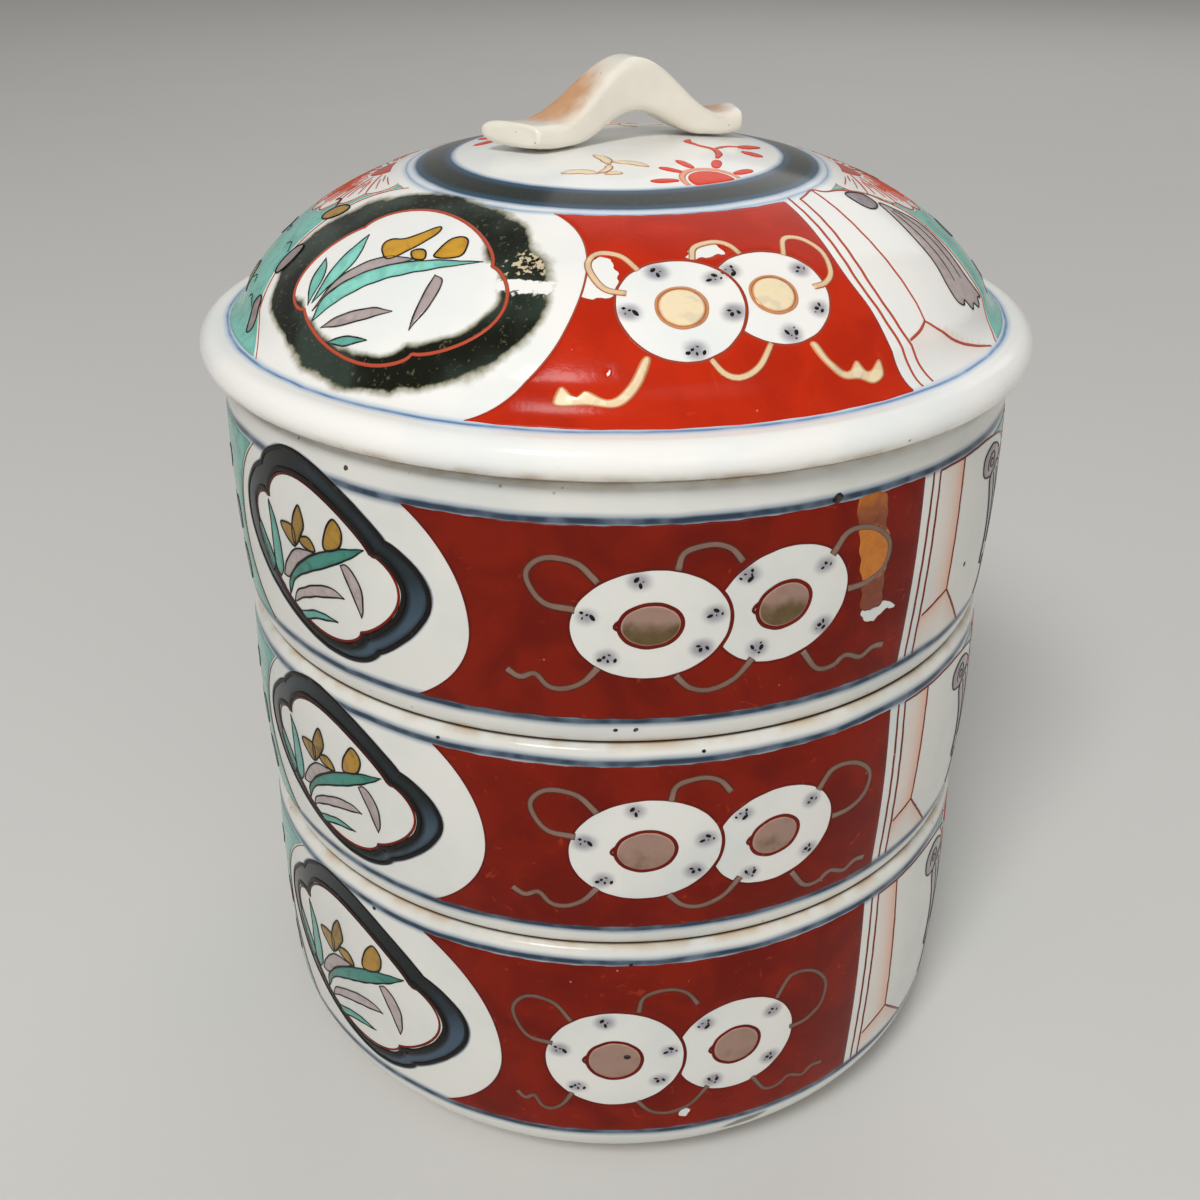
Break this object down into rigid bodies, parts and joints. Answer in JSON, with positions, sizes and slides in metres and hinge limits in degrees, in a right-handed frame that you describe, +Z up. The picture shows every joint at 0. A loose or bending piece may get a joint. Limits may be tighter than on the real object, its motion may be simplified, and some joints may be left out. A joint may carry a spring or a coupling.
{
  "type": "three-tier porcelain food box",
  "caption": "Round stacking porcelain food box: footed tiers nest lip to ring under a domed lid with an arched strap handle, painted with red fields, flower medallions and blue lines.",
  "frame": {"origin": "centre of the foot ring's underside, on the surface the box stands on", "axes": "+Z up along the axis of the tiers; -Y towards the side that carries the middle of a red field; +X to the right of a viewer at -Y"},
  "size_m": [0.1574, 0.1574, 0.2029],
  "materials": {
    "white_porcelain": "clear glaze over white porcelain, painted under and over the glaze, bare at the rims",
    "handle_porcelain": "clear glaze over off-white porcelain with tan brushed on its top",
    "iron_red_enamel": "brushed iron-red overglaze enamel",
    "worn_gold": "worn fired gilding",
    "green_enamel": "translucent green overglaze enamel",
    "aubergine_enamel": "translucent purple-grey overglaze enamel",
    "ochre_enamel": "translucent ochre overglaze enamel",
    "black_line": "thin black outline under the enamels"
  },
  "bodies": {
    "lower_tier": {"lower_tier": "white_porcelain"},
    "middle_tier": {"middle_tier": "white_porcelain"},
    "upper_tier": {"upper_tier": "white_porcelain"},
    "lid": {"lid": "white_porcelain", "lid_handle": "handle_porcelain"}
  },
  "joints": [
    {"name": "middle_lift", "type": "slide", "parent": "lower_tier", "child": "middle_tier", "axis": [0, 0, 1], "range_m": [0, 0.08]},
    {"name": "upper_lift", "type": "slide", "parent": "middle_tier", "child": "upper_tier", "axis": [0, 0, 1], "range_m": [0, 0.08]},
    {"name": "lid_lift", "type": "slide", "parent": "upper_tier", "child": "lid", "axis": [0, 0, 1], "range_m": [0, 0.08]}
  ]
}
